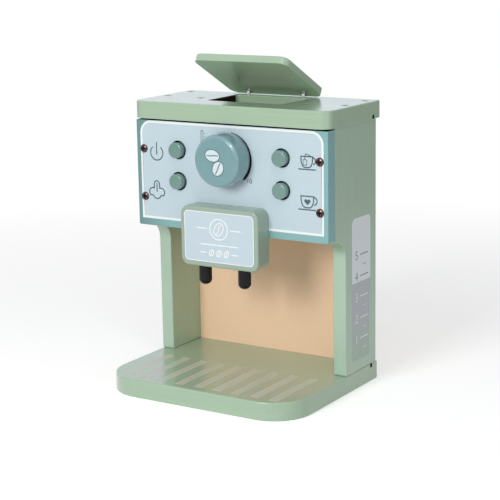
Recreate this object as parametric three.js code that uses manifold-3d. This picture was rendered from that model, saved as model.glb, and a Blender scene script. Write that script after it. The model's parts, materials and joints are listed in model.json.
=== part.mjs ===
// A wooden toy coffee maker: painted boards, a pod hopper under a hinged hatch lid, four sprung
// push buttons, a turning knob, and a brew head with two nozzles over a cup bay.
// Millimetres, +Z up, the front looks along -Y. The pieces are placed from the front face of the
// front panel, and the whole machine is then centred over its own footprint.

import * as THREE from "three";
import * as BufferGeometryUtils from "three/addons/utils/BufferGeometryUtils.js";
import Module from "manifold-3d";

const wasm = await Module();
wasm.setup();

const degrees = Math.PI / 180;
const quarterTurn = Math.PI / 2;

// Clearances
const seatGap = 0.05; // between faces that are glued or screwed together
const fitGap = 0.3; // round a piece in its bore or slot
const grooveGap = 0.2; // on each side of a board in its groove
const overrun = 2; // how far a cutter runs past the face that it cuts

// Housing boards
const bodyWidth = 190;
const bodyDepth = 88;
const bodyHeight = 245.5;
const baseReach = 64; // how far the base stands out in front of the front panel
const baseThickness = 16;
const baseFrontRadius = 34;
const topThickness = 15;
const topSideOverhang = 1.7; // how far the top board stands out past each side
const topFrontOverhang = 2.8; // how far it stands out in front of the front panel
const topFrontRadius = 10;
const topRearRadius = 1.5;
const rearCornerRadius = 2.5;
const boardEdgeRadius = 1.2;
const sideThickness = 12;
const sideRearInset = 4;
const sideFootInset = 29.5; // from the panel's front face to the foot's front edge
const sideArchDrop = 1.6; // how far the side's arm reaches below the front panel
const sideArchRadius = 16.5;
const sideCornerRadius = 1.5;
const sideEdgeRadius = 0.8;
const panelThickness = 12;
const panelHeight = 93;
const panelTopGap = 0.9; // the dark line between the front panel and the top board
const panelCornerRadius = 1.6;
const panelEdgeRadius = 1;
const backPanelThickness = 3;
const backPanelRearInset = 11;
const backGrooveDepth = 3.5;

// Pod hopper
const mechanismDepth = 8; // free depth behind the front panel, for springs and screw heads
const springBoardThickness = 4;
const innerGrooveDepth = 2;
const shelfThickness = 9;
const shelfLedge = 4; // wood left under the shelf's groove
const hopperWidth = 95;
const hopperWallThickness = 9;
const hatchWidth = 74;
const hatchRearStep = 1.2; // top board left in front of the back panel
const hatchCornerRadius = 3;

// Hatch lid and its two barrel hinges
const lidWidth = 88.5;
const lidLength = 71.4;
const lidThickness = 6.5;
const lidCornerRadius = 9;
const lidEdgeRadius = 1;
const lidRearInset = 5.6;
const lidGap = 0.3;
const lidRestAngle = 28 * degrees;
const lidOpenAngle = 90 * degrees;
const hingeSpacing = 56;
const barrelRadius = 2.8;
const barrelSetback = 5.6; // from the lid's rear edge to the barrels' axis
const boardBarrelLength = 8.6;
const lidBarrelLength = 5.2;
const linkWidth = 2.4;
const linkThickness = 1.2;
const linkTurnShare = 0.55; // how far a link turns for each degree of the lid
const linkHoldAngle = 4 * degrees; // what stays in each barrel at full opening

// Push buttons and their springs
const buttonSpread = 103;
const buttonTopDrop = 24.8;
const buttonPitch = 27;
const buttonRadius = 6.8;
const buttonHoleRadius = 8;
const buttonReach = 5.8;
const buttonEdgeRadius = 1.2;
const buttonCollarRadius = 10;
const buttonCollarThickness = 3;
const springRadius = 4;
const springWireRadius = 0.45;
const springBoreDepth = 11;
const springSeatDepth = 0.8;
const springTurns = 5;

// Knob
const knobDrop = 28.5;
const knobRadius = 23;
const knobDepth = 15;
const knobFaceRadius = 19.2;
const knobRimRadius = 21.8; // at the foot of the chamfer; the side widens slightly towards the back
const knobChamferDepth = 1.3;
const knobRearRadius = 0.6;
const knobGap = 5; // the shadow gap behind the knob, held open by its thick front washer
const knobBoltRadius = 2;
const knobBoltHeadRadius = 4;
const knobBoltHeadHeight = 2.4;
const knobBoltGrip = 10.5; // length of the bolt inside the knob
const frontWasherRadius = 9;
const rearWasherRadius = 6;
const rearWasherThickness = 0.8;

// Brew head and nozzles
const headWidth = 77;
const headHeight = 51.5;
const headDepth = 18;
const headOverlap = 24.8; // how far the head reaches up over the front panel
const headCornerRadius = 7.5;
const headEdgeRadius = 2;
const nozzleSpread = 39.4;
const nozzleOffset = 9.5;
const nozzleRadius = 5.5;
const nozzleReach = 17.3;
const nozzleDomeHeight = 4.6;
const nozzleSocketDepth = 14;
const headScrewSpread = 40;
const headScrewDrop = 9.3;

// Screws
const screwShankRadius = 1.75;
const screwHeadRadius = 3.3;
const screwHeadHeight = 2.1;
const screwRimHeight = 0.3;
const screwTipLength = 3;
const screwSink = 0.2; // how far a countersunk head lies below the board
const crossWidth = 0.9;
const crossLength = 3.6;
const crossDepth = 1;
const panHeadHeight = 1.7;
const topScrewLength = 32;
const topScrewInset = 40; // from the front face to the front screw
const topScrewPitch = 36;
const hopperScrewInset = 37;
const baseScrewLength = 34;
const baseScrewInset = 41;
const baseScrewPitch = 29;
const panelScrewLength = 30;
const panelScrewInset = 7.5; // from the panel's side edge
const panelScrewDrop = 25.7;
const panelScrewPitch = 42;
const headScrewLength = 24;

// Facets
const cornerSteps = 2;
const wideCornerSteps = 4;
const domeSteps = 3;
const edgeSteps = 2;
const boreSides = 12;
const screwSides = 14;
const barrelSides = 20;
const buttonSides = 22;
const knobSides = 48;
const springStepsPerTurn = 8;
const springSides = 5;
const creaseAngle = 35 * degrees;

// Places worked out from the sizes above
const halfWidth = bodyWidth / 2;
const topHalfWidth = halfWidth + topSideOverhang;
const sideInner = halfWidth - sideThickness;
const sideCentre = halfWidth - sideThickness / 2;
const topUnderside = bodyHeight - topThickness;
const panelTop = topUnderside - panelTopGap;
const panelBottom = panelTop - panelHeight;
const panelScrewX = halfWidth - panelScrewInset;
const sideArchHeight = panelBottom - sideArchDrop;
const backPanelRear = bodyDepth - backPanelRearInset;
const backPanelFront = backPanelRear - backPanelThickness;
const springBoardFront = panelThickness + mechanismDepth;
const springBoardRear = springBoardFront + springBoardThickness;
const shelfBottom = sideArchHeight + shelfLedge;
const shelfTop = shelfBottom + shelfThickness;
const hopperWallCentre = hopperWidth / 2 + hopperWallThickness / 2;
const hatchRear = backPanelFront - hatchRearStep;
const hingeY = bodyDepth - lidRearInset;
const hingeZ = bodyHeight + lidGap / 2;
const barrelY = hingeY - barrelSetback;
const linkOuterRadius = barrelSetback + linkThickness / 2;
const linkLowerAngle = linkTurnShare * lidOpenAngle + linkHoldAngle;
const linkUpperAngle = (1 - linkTurnShare) * lidOpenAngle + linkHoldAngle;
const knobZ = panelTop - knobDrop;
const buttonZs = [panelTop - buttonTopDrop, panelTop - buttonTopDrop - buttonPitch];
const panelScrewZs = [panelTop - panelScrewDrop, panelTop - panelScrewDrop - panelScrewPitch];
const topScrewYs = [topScrewInset, topScrewInset + topScrewPitch];
const baseScrewYs = [baseScrewInset, baseScrewInset + baseScrewPitch];
const headTop = panelBottom + headOverlap;
const headBottom = headTop - headHeight;
const headScrewZ = headTop - headScrewDrop;
const screwBoreRadius = screwShankRadius + fitGap;
const topScrewBoreEnd = bodyHeight - topScrewLength - overrun;
const sides = { left: -1, right: 1 };
const rows = { upper: 0, lower: 1 };

// Finishes
const finishes = {
  sagePaint: { color: 0xaecbad, roughness: 0.42, metalness: 0 },
  tealPaint: { color: 0x8dbcbd, roughness: 0.45, metalness: 0 },
  peachPaint: { color: 0xe6c3a0, roughness: 0.6, metalness: 0 },
  knobPaint: { color: 0x84aab0, roughness: 0.4, metalness: 0 },
  buttonPaint: { color: 0x7f978f, roughness: 0.5, metalness: 0 },
  headPaint: { color: 0xb8cabd, roughness: 0.42, metalness: 0 },
  blackPaint: { color: 0x2b2b2d, roughness: 0.38, metalness: 0 },
  bareWood: { color: 0xd9bd93, roughness: 0.75, metalness: 0 },
  brownSteel: { color: 0x5a2a22, roughness: 0.4, metalness: 0.8 },
  zincSteel: { color: 0xb9bcc0, roughness: 0.35, metalness: 1 },
  brightSteel: { color: 0xe4e6e8, roughness: 0.2, metalness: 1 },
  nylon: { color: 0xe8e8e4, roughness: 0.55, metalness: 0 },
};

// Turns a closed three.js geometry into a solid that can be joined and cut
function solidOf(geometry) {
  const bare = geometry.clone();
  bare.deleteAttribute("normal");
  bare.deleteAttribute("uv");
  const welded = BufferGeometryUtils.mergeVertices(bare);
  const index = welded.index.array;
  const corners = [];
  for (let i = 0; i < index.length; i += 3) {
    const [a, b, c] = index.slice(i, i + 3);
    if (a !== b && b !== c && c !== a) corners.push(a, b, c);
  }
  const mesh = new wasm.Mesh({
    numProp: 3,
    vertProperties: new Float32Array(welded.attributes.position.array),
    triVerts: new Uint32Array(corners),
  });
  return new wasm.Manifold(mesh);
}

function cut(solid, cutters) {
  return cutters.reduce((rest, cutter) => rest.subtract(cutter), solid);
}

function addPiece(parent, name, solid, finish) {
  const mesh = solid.getMesh();
  const geometry = new THREE.BufferGeometry();
  geometry.setAttribute("position", new THREE.BufferAttribute(mesh.vertProperties, 3));
  geometry.setIndex(new THREE.BufferAttribute(mesh.triVerts, 1));
  const creased = BufferGeometryUtils.toCreasedNormals(geometry, creaseAngle);
  const piece = new THREE.Mesh(creased, new THREE.MeshStandardMaterial(finishes[finish]));
  piece.name = name;
  parent.add(piece);
  return piece;
}

// A box from its lowest to its highest corner
function block(low, high) {
  const size = high.map((value, axis) => value - low[axis]);
  const centre = high.map((value, axis) => (value + low[axis]) / 2);
  return solidOf(new THREE.BoxGeometry(...size).translate(...centre));
}

// A round bar or cone between two points
function taper(startRadius, endRadius, start, end, sideCount = boreSides) {
  const from = new THREE.Vector3(...start);
  const to = new THREE.Vector3(...end);
  const along = to.clone().sub(from);
  const geometry = new THREE.CylinderGeometry(endRadius, startRadius, along.length(), sideCount);
  const up = new THREE.Vector3(0, 1, 0);
  geometry.applyQuaternion(new THREE.Quaternion().setFromUnitVectors(up, along.normalize()));
  const middle = from.add(to).multiplyScalar(1 / 2);
  return solidOf(geometry.translate(middle.x, middle.y, middle.z));
}

function bar(radius, start, end, sideCount = boreSides) {
  return taper(radius, radius, start, end, sideCount);
}

// A turned piece round the Y axis, from a profile that starts and ends on that axis
function turned(profile, sideCount, arcSteps = cornerSteps) {
  return solidOf(new THREE.LatheGeometry(profile.getPoints(arcSteps), sideCount));
}

// A rectangle with one radius for its low edge's corners and one for its high edge's corners
function roundedOutline(left, right, low, high, lowRadius, highRadius) {
  const outline = new THREE.Shape();
  outline.moveTo(left + lowRadius, low);
  outline.lineTo(right - lowRadius, low);
  outline.absarc(right - lowRadius, low + lowRadius, lowRadius, -quarterTurn, 0, false);
  outline.lineTo(right, high - highRadius);
  outline.absarc(right - highRadius, high - highRadius, highRadius, 0, quarterTurn, false);
  outline.lineTo(left + highRadius, high);
  outline.absarc(left + highRadius, high - highRadius, highRadius, quarterTurn, Math.PI, false);
  outline.lineTo(left, low + lowRadius);
  outline.absarc(left + lowRadius, low + lowRadius, lowRadius, Math.PI, 3 * quarterTurn, false);
  return outline;
}

// A board of the outline's size, from z = 0 up, with its edges rounded over
function roundedBoard(outline, thickness, edgeRadius, arcSteps = cornerSteps) {
  const geometry = new THREE.ExtrudeGeometry(outline, {
    depth: thickness - 2 * edgeRadius,
    bevelThickness: edgeRadius,
    bevelSize: edgeRadius,
    bevelOffset: -edgeRadius,
    bevelSegments: edgeSteps,
    curveSegments: arcSteps,
  });
  return geometry.translate(0, 0, edgeRadius);
}

// Stands a flat board up, so that its outline's second axis is Z and it lies behind y = front
function facingFront(geometry, thickness, front) {
  return geometry.rotateX(quarterTurn).translate(0, front + thickness, 0);
}

// Turns a flat board so that its outline's axes are Y and Z and its thickness runs along X
function facingSide(geometry, left) {
  const along = [new THREE.Vector3(0, 1, 0), new THREE.Vector3(0, 0, 1), new THREE.Vector3(1, 0, 0)];
  return geometry.applyMatrix4(new THREE.Matrix4().makeBasis(...along)).translate(left, 0, 0);
}

// Countersunk and clearance holes for a screw whose head lies at the face
function countersunkHole(face, end) {
  const from = new THREE.Vector3(...face);
  const inward = new THREE.Vector3(...end).sub(from).normalize();
  const at = (distance) => from.clone().addScaledVector(inward, distance).toArray();
  const coneEnd = screwSink + screwHeadHeight;
  return [
    bar(screwBoreRadius, at(-overrun), end),
    bar(screwHeadRadius + fitGap, at(-overrun), at(screwSink + screwRimHeight), screwSides),
    taper(screwHeadRadius + fitGap, screwBoreRadius, at(screwSink), at(coneEnd), screwSides),
  ];
}

// Two crossing slots in a screw head whose top is at the height
function crossRecess(height) {
  const arm = crossLength / 2;
  const half = crossWidth / 2;
  const floor = height - crossDepth;
  const roof = height + overrun;
  return [block([-arm, floor, -half], [arm, roof, half]), block([-half, floor, -arm], [half, roof, arm])];
}

// Screws stand along Y with the head at the top; a countersunk one ends flush at y = 0
function countersunkScrew(length) {
  const profile = new THREE.Path();
  profile.moveTo(0, -length);
  profile.lineTo(screwShankRadius, -length + screwTipLength);
  profile.lineTo(screwShankRadius, -screwHeadHeight);
  profile.lineTo(screwHeadRadius, -screwRimHeight);
  profile.lineTo(screwHeadRadius, 0);
  profile.lineTo(0, 0);
  return cut(turned(profile, screwSides), crossRecess(0));
}

// A domed head that sits on the face at y = 0
function panScrew(length, shankRadius, headRadius, headHeight) {
  const profile = new THREE.Path();
  profile.moveTo(0, -length);
  profile.lineTo(shankRadius, -length + screwTipLength);
  profile.lineTo(shankRadius, 0);
  profile.lineTo(headRadius, 0);
  profile.lineTo(headRadius, headHeight / 3);
  profile.quadraticCurveTo(headRadius, headHeight, headRadius / 2, headHeight);
  profile.lineTo(0, headHeight);
  return cut(turned(profile, screwSides, 2), crossRecess(headHeight));
}

function washer(outerRadius, boreRadius, thickness) {
  const disc = bar(outerRadius, [0, 0, 0], [0, thickness, 0], buttonSides);
  return disc.subtract(bar(boreRadius, [0, -overrun, 0], [0, thickness + overrun, 0]));
}

// The grooves that hold the back panel in the base and the top board run right through
function backGroove(low, high) {
  return block(
    [-topHalfWidth - overrun, backPanelFront - grooveGap, low],
    [topHalfWidth + overrun, backPanelRear + grooveGap, high],
  );
}

function addBaseBoard(machine) {
  const outline = roundedOutline(
    -halfWidth, halfWidth, -baseReach, bodyDepth, baseFrontRadius, rearCornerRadius,
  );
  const board = solidOf(roundedBoard(outline, baseThickness, boardEdgeRadius, wideCornerSteps));
  const cutters = [backGroove(baseThickness - backGrooveDepth, baseThickness + overrun)];
  for (const side of Object.values(sides)) {
    for (const y of baseScrewYs) {
      const x = side * sideCentre;
      cutters.push(...countersunkHole([x, y, 0], [x, y, baseThickness + overrun]));
    }
  }
  addPiece(machine, "base_board", cut(board, cutters), "sagePaint");
}

// The side's outline, from the arm behind the front panel down to the set back foot
function sideOutline() {
  const front = panelThickness + seatGap;
  const rear = bodyDepth - sideRearInset;
  const low = baseThickness + seatGap;
  const high = topUnderside - seatGap;
  const radius = sideCornerRadius;
  const outline = new THREE.Shape();
  outline.moveTo(sideFootInset + radius, low);
  outline.lineTo(rear - radius, low);
  outline.absarc(rear - radius, low + radius, radius, -quarterTurn, 0, false);
  outline.lineTo(rear, high - radius);
  outline.absarc(rear - radius, high - radius, radius, 0, quarterTurn, false);
  outline.lineTo(front + radius, high);
  outline.absarc(front + radius, high - radius, radius, quarterTurn, Math.PI, false);
  outline.lineTo(front, sideArchHeight);
  outline.lineTo(sideFootInset - sideArchRadius, sideArchHeight);
  outline.absarc(
    sideFootInset - sideArchRadius, sideArchHeight - sideArchRadius, sideArchRadius, quarterTurn, 0, true,
  );
  outline.lineTo(sideFootInset, low + radius);
  outline.absarc(sideFootInset + radius, low + radius, radius, Math.PI, 3 * quarterTurn, false);
  return outline;
}

// A groove in the inner face of one side, between two points in Y and Z
function sideGroove(side, depth, low, high) {
  const faces = [side * (sideInner - overrun), side * (sideInner + depth)];
  return block([Math.min(...faces), ...low], [Math.max(...faces), ...high]);
}

function addSidePanels(machine) {
  for (const [name, side] of Object.entries(sides)) {
    const left = side > 0 ? sideInner : -halfWidth;
    const flat = roundedBoard(sideOutline(), sideThickness, sideEdgeRadius, wideCornerSteps);
    const board = solidOf(facingSide(flat, left));
    const screwX = side * panelScrewX;
    const sideX = side * sideCentre;
    const cutters = [
      sideGroove(
        side, backGrooveDepth,
        [backPanelFront - grooveGap, baseThickness - overrun],
        [backPanelRear + grooveGap, topUnderside + overrun],
      ),
      sideGroove(
        side, innerGrooveDepth + fitGap,
        [springBoardFront - grooveGap, shelfBottom],
        [springBoardRear + grooveGap, topUnderside + overrun],
      ),
      sideGroove(
        side, innerGrooveDepth + fitGap,
        [panelThickness - overrun, shelfBottom - grooveGap],
        [backPanelFront, shelfTop + grooveGap],
      ),
    ];
    for (const y of topScrewYs) {
      cutters.push(bar(screwBoreRadius, [sideX, y, bodyHeight], [sideX, y, topScrewBoreEnd]));
    }
    for (const y of baseScrewYs) {
      cutters.push(bar(screwBoreRadius, [sideX, y, 0], [sideX, y, baseScrewLength + overrun]));
    }
    for (const z of panelScrewZs) {
      cutters.push(bar(screwBoreRadius, [screwX, 0, z], [screwX, panelScrewLength + overrun, z]));
    }
    addPiece(machine, `${name}_side_panel`, cut(board, cutters), "sagePaint");
  }
}

function addBackPanel(machine) {
  const edge = sideInner + backGrooveDepth - fitGap;
  const low = baseThickness - backGrooveDepth + fitGap;
  const high = topUnderside + backGrooveDepth - fitGap;
  const panel = block([-edge, backPanelFront, low], [edge, backPanelRear, high]);
  addPiece(machine, "back_panel", panel, "peachPaint");
}

function addTopBoard(machine) {
  const outline = roundedOutline(
    -topHalfWidth, topHalfWidth, -topFrontOverhang, bodyDepth, topFrontRadius, topRearRadius,
  );
  const flat = roundedBoard(outline, topThickness, boardEdgeRadius, wideCornerSteps);
  const board = solidOf(flat.translate(0, 0, topUnderside));
  const hatch = roundedOutline(
    -hatchWidth / 2, hatchWidth / 2, springBoardRear, hatchRear, hatchCornerRadius, hatchCornerRadius,
  );
  const hatchCutter = new THREE.ExtrudeGeometry(hatch, {
    depth: topThickness + 2 * overrun,
    bevelEnabled: false,
    curveSegments: cornerSteps,
  });
  const cutters = [
    solidOf(hatchCutter.translate(0, 0, topUnderside - overrun)),
    backGroove(topUnderside - overrun, topUnderside + backGrooveDepth),
  ];
  for (const side of Object.values(sides)) {
    const x = side * hingeSpacing / 2;
    const barrelFloor = bodyHeight - boardBarrelLength - fitGap;
    cutters.push(bar(
      barrelRadius + fitGap, [x, barrelY, bodyHeight + overrun], [x, barrelY, barrelFloor], barrelSides,
    ));
    const sideX = side * sideCentre;
    for (const y of topScrewYs) {
      cutters.push(...countersunkHole([sideX, y, bodyHeight], [sideX, y, topUnderside - overrun]));
    }
    const wallX = side * hopperWallCentre;
    cutters.push(...countersunkHole(
      [wallX, hopperScrewInset, bodyHeight], [wallX, hopperScrewInset, topUnderside - overrun],
    ));
  }
  addPiece(machine, "top_board", cut(board, cutters), "sagePaint");
}

function addFrontPanel(machine) {
  const outline = roundedOutline(
    -halfWidth, halfWidth, panelBottom, panelTop, panelCornerRadius, panelCornerRadius,
  );
  const flat = roundedBoard(outline, panelThickness, panelEdgeRadius);
  const board = solidOf(facingFront(flat, panelThickness, 0));
  const through = (radius, x, z, sideCount) =>
    bar(radius, [x, -overrun, z], [x, panelThickness + overrun, z], sideCount);
  const cutters = [through(knobBoltRadius + fitGap, 0, knobZ)];
  for (const side of Object.values(sides)) {
    const buttonX = side * buttonSpread / 2;
    for (const z of buttonZs) cutters.push(through(buttonHoleRadius, buttonX, z, buttonSides));
    for (const z of panelScrewZs) cutters.push(through(screwBoreRadius, side * panelScrewX, z));
    cutters.push(through(screwBoreRadius, side * headScrewSpread / 2, headScrewZ));
  }
  addPiece(machine, "front_panel", cut(board, cutters), "tealPaint");
}

// The shelf, the spring board and the two walls close the pod hopper under the hatch
function addHopper(machine) {
  const edge = sideInner + innerGrooveDepth;
  const shelf = block(
    [-edge, panelThickness + seatGap, shelfBottom], [edge, backPanelFront - seatGap, shelfTop],
  );
  addPiece(machine, "hopper_shelf", shelf, "bareWood");

  const springBoard = block(
    [-edge, springBoardFront, shelfTop + seatGap], [edge, springBoardRear, topUnderside - seatGap],
  );
  const seats = Object.values(sides).flatMap((side) => buttonZs.map((z) => {
    const x = side * buttonSpread / 2;
    const floor = springBoardFront + springSeatDepth;
    const radius = springRadius + springWireRadius + fitGap;
    return bar(radius, [x, springBoardFront - overrun, z], [x, floor, z], barrelSides);
  }));
  addPiece(machine, "spring_board", cut(springBoard, seats), "bareWood");

  for (const [name, side] of Object.entries(sides)) {
    const x = side * hopperWallCentre;
    const wall = block(
      [x - hopperWallThickness / 2, springBoardRear + seatGap, shelfTop + seatGap],
      [x + hopperWallThickness / 2, backPanelFront - seatGap, topUnderside - seatGap],
    );
    const bore = bar(
      screwBoreRadius, [x, hopperScrewInset, bodyHeight], [x, hopperScrewInset, topScrewBoreEnd],
    );
    addPiece(machine, `${name}_hopper_wall`, wall.subtract(bore), "bareWood");
  }
}

// A hinge barrel with a slot for the link, open upwards at y = 0 and closed at its far end
function slottedBarrel(length, slotDepth) {
  const barrel = bar(barrelRadius, [0, -length, 0], [0, 0, 0], barrelSides);
  const half = linkWidth / 2 + fitGap;
  const reach = barrelRadius + overrun;
  return barrel.subtract(block([-half, -slotDepth, -reach], [half, overrun, reach]));
}

function addHinges(machine) {
  for (const [name, side] of Object.entries(sides)) {
    const slotDepth = linkOuterRadius * Math.sin(linkLowerAngle) + fitGap;
    const barrel = addPiece(
      machine, `${name}_board_barrel`, slottedBarrel(boardBarrelLength, slotDepth), "brightSteel",
    );
    barrel.rotation.x = quarterTurn;
    barrel.position.set(side * hingeSpacing / 2, barrelY, bodyHeight - seatGap);

    const arc = new THREE.Shape();
    const inner = linkOuterRadius - linkThickness;
    arc.absarc(0, 0, linkOuterRadius, Math.PI - linkUpperAngle, Math.PI + linkLowerAngle, false);
    arc.absarc(0, 0, inner, Math.PI + linkLowerAngle, Math.PI - linkUpperAngle, true);
    const flat = new THREE.ExtrudeGeometry(arc, {
      depth: linkWidth,
      bevelEnabled: false,
      curveSegments: cornerSteps,
    });
    const turn = new THREE.Group();
    turn.position.set(side * hingeSpacing / 2, hingeY, hingeZ);
    turn.rotation.x = -linkTurnShare * lidRestAngle;
    addPiece(turn, `${name}_hinge_link`, solidOf(facingSide(flat, -linkWidth / 2)), "brightSteel");
    machine.add(turn);
  }
}

// The lid lies closed round its hinge axis, and the group opens it to its angle at rest
function addLid(machine) {
  const lift = lidGap / 2;
  const outline = roundedOutline(
    -lidWidth / 2, lidWidth / 2, -lidLength, 0, lidCornerRadius, lidCornerRadius,
  );
  const flat = roundedBoard(outline, lidThickness, lidEdgeRadius, wideCornerSteps).translate(0, 0, lift);
  const lid = new THREE.Group();
  lid.position.set(0, hingeY, hingeZ);
  lid.rotation.x = -lidRestAngle;
  const cutters = [];
  const slotDepth = linkOuterRadius * Math.sin(linkUpperAngle) + fitGap - lift;
  for (const [name, side] of Object.entries(sides)) {
    const x = side * hingeSpacing / 2;
    const roof = lift + lidBarrelLength + seatGap;
    cutters.push(bar(
      barrelRadius + fitGap, [x, -barrelSetback, -overrun], [x, -barrelSetback, roof], barrelSides,
    ));
    const barrel = addPiece(
      lid, `${name}_lid_barrel`, slottedBarrel(lidBarrelLength, slotDepth), "brightSteel",
    );
    barrel.rotation.x = -quarterTurn;
    barrel.position.set(x, -barrelSetback, lift);
  }
  addPiece(lid, "hatch_lid", cut(solidOf(flat), cutters), "sagePaint");
  machine.add(lid);
}

// A turned button: a collar behind the panel, a stem through it, and a blind bore for the spring
function buttonSolid() {
  const stemLength = panelThickness + fitGap + buttonReach;
  const boreRadius = springRadius + springWireRadius + fitGap;
  const boreFloor = springBoreDepth - buttonCollarThickness;
  const profile = new THREE.Path();
  profile.moveTo(0, boreFloor);
  profile.lineTo(boreRadius, boreFloor);
  profile.lineTo(boreRadius, -buttonCollarThickness);
  profile.lineTo(buttonCollarRadius, -buttonCollarThickness);
  profile.lineTo(buttonCollarRadius, 0);
  profile.lineTo(buttonRadius, 0);
  profile.lineTo(buttonRadius, stemLength - buttonEdgeRadius);
  profile.absarc(
    buttonRadius - buttonEdgeRadius, stemLength - buttonEdgeRadius, buttonEdgeRadius, 0, quarterTurn, false,
  );
  profile.lineTo(0, stemLength);
  return turned(profile, buttonSides);
}

// The wire's centre line, wound round the Y axis from y = 0
class Coil extends THREE.Curve {
  constructor(length) {
    super();
    this.length = length;
  }

  getPoint(share, target = new THREE.Vector3()) {
    const angle = 2 * Math.PI * springTurns * share;
    return target.set(springRadius * Math.cos(angle), this.length * share, springRadius * Math.sin(angle));
  }
}

// The least gap between neighbouring turns of the wire, measured on points along it
function leastCoilGap(coil) {
  const points = coil.getPoints(springTurns * springStepsPerTurn);
  const gaps = [];
  for (let i = 0; i + springStepsPerTurn < points.length; i += 1) {
    gaps.push(points[i].distanceTo(points[i + springStepsPerTurn]) - 2 * springWireRadius);
  }
  return Math.min(...gaps);
}

function springSolid(length) {
  const section = new THREE.Shape();
  section.absarc(0, 0, springWireRadius, 0, 2 * Math.PI, false);
  const coil = new Coil(length - 2 * springWireRadius);
  console.log(`least gap between spring turns: ${leastCoilGap(coil).toFixed(2)} mm`);
  const wire = new THREE.ExtrudeGeometry(new THREE.Shape(section.getSpacedPoints(springSides).slice(1)), {
    steps: springTurns * springStepsPerTurn,
    extrudePath: coil,
    bevelEnabled: false,
  });
  return solidOf(wire.translate(0, springWireRadius, 0));
}

function addButtons(machine) {
  const collarFront = panelThickness + fitGap;
  const boreEnd = collarFront + buttonCollarThickness - springBoreDepth;
  const springSeat = springBoardFront + springSeatDepth;
  const springLength = springSeat - boreEnd - 2 * fitGap;
  const coil = springSolid(springLength);
  for (const [row, step] of Object.entries(rows)) {
    for (const [name, side] of Object.entries(sides)) {
      const x = side * buttonSpread / 2;
      const z = buttonZs[step];
      const button = addPiece(machine, `${row}_${name}_button`, buttonSolid(), "buttonPaint");
      button.rotation.x = Math.PI;
      button.position.set(x, collarFront, z);
      const spring = addPiece(machine, `${row}_${name}_spring`, coil, "zincSteel");
      spring.position.set(x, boreEnd + fitGap, z);
    }
  }
}

function addKnob(machine) {
  const profile = new THREE.Path();
  profile.moveTo(0, 0);
  profile.lineTo(knobRadius - knobRearRadius, 0);
  profile.lineTo(knobRadius, knobRearRadius);
  profile.lineTo(knobRimRadius, knobDepth - knobChamferDepth);
  profile.lineTo(knobFaceRadius, knobDepth);
  profile.lineTo(0, knobDepth);
  const bore = bar(knobBoltRadius + fitGap, [0, -overrun, 0], [0, knobBoltGrip + fitGap, 0]);
  const knob = addPiece(machine, "knob", turned(profile, knobSides).subtract(bore), "knobPaint");
  knob.rotation.x = Math.PI;
  knob.position.set(0, -knobGap, knobZ);

  const boltSeat = panelThickness + 2 * fitGap + rearWasherThickness;
  const boltLength = boltSeat + knobGap + knobBoltGrip;
  const bolt = addPiece(
    machine, "knob_bolt",
    panScrew(boltLength, knobBoltRadius, knobBoltHeadRadius, knobBoltHeadHeight), "zincSteel",
  );
  bolt.position.set(0, boltSeat, knobZ);

  const washerBore = knobBoltRadius + fitGap;
  const frontWasher = washer(frontWasherRadius, washerBore, knobGap - 2 * fitGap);
  const front = addPiece(machine, "knob_front_washer", frontWasher, "nylon");
  front.position.set(0, fitGap - knobGap, knobZ);
  const rearWasher = washer(rearWasherRadius, washerBore, rearWasherThickness);
  const rear = addPiece(machine, "knob_rear_washer", rearWasher, "zincSteel");
  rear.position.set(0, panelThickness + fitGap / 2, knobZ);
}

// The rounded block is made deeper than it is, and its back is cut off flat where it meets the panel
function addBrewHead(machine) {
  const outline = roundedOutline(
    -headWidth / 2, headWidth / 2, headBottom, headTop, headCornerRadius, headCornerRadius,
  );
  const fullDepth = headDepth + 2 * headEdgeRadius;
  const flat = roundedBoard(outline, fullDepth, headEdgeRadius, wideCornerSteps);
  const head = solidOf(facingFront(flat, fullDepth, -headDepth));
  const cutters = [block(
    [-headWidth, -seatGap, headBottom - overrun], [headWidth, fullDepth, headTop + overrun],
  )];
  for (const side of Object.values(sides)) {
    const nozzleX = side * nozzleSpread / 2;
    const screwX = side * headScrewSpread / 2;
    cutters.push(bar(
      nozzleRadius + fitGap,
      [nozzleX, -nozzleOffset, headBottom - overrun],
      [nozzleX, -nozzleOffset, headBottom + nozzleSocketDepth],
      buttonSides,
    ));
    const screwEnd = panelThickness - headScrewLength - fitGap;
    cutters.push(bar(screwBoreRadius, [screwX, overrun, headScrewZ], [screwX, screwEnd, headScrewZ]));
  }
  addPiece(machine, "brew_head", cut(head, cutters), "headPaint");
}

function addNozzles(machine) {
  const profile = new THREE.Path();
  const top = nozzleSocketDepth - fitGap;
  profile.moveTo(0, -nozzleReach);
  profile.absellipse(
    0, nozzleDomeHeight - nozzleReach, nozzleRadius, nozzleDomeHeight, -quarterTurn, 0, false,
  );
  profile.lineTo(nozzleRadius, top);
  profile.lineTo(0, top);
  for (const [name, side] of Object.entries(sides)) {
    const nozzle = addPiece(machine, `${name}_nozzle`, turned(profile, buttonSides, domeSteps), "blackPaint");
    nozzle.rotation.x = quarterTurn;
    nozzle.position.set(side * nozzleSpread / 2, -nozzleOffset, headBottom);
  }
}

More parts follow.
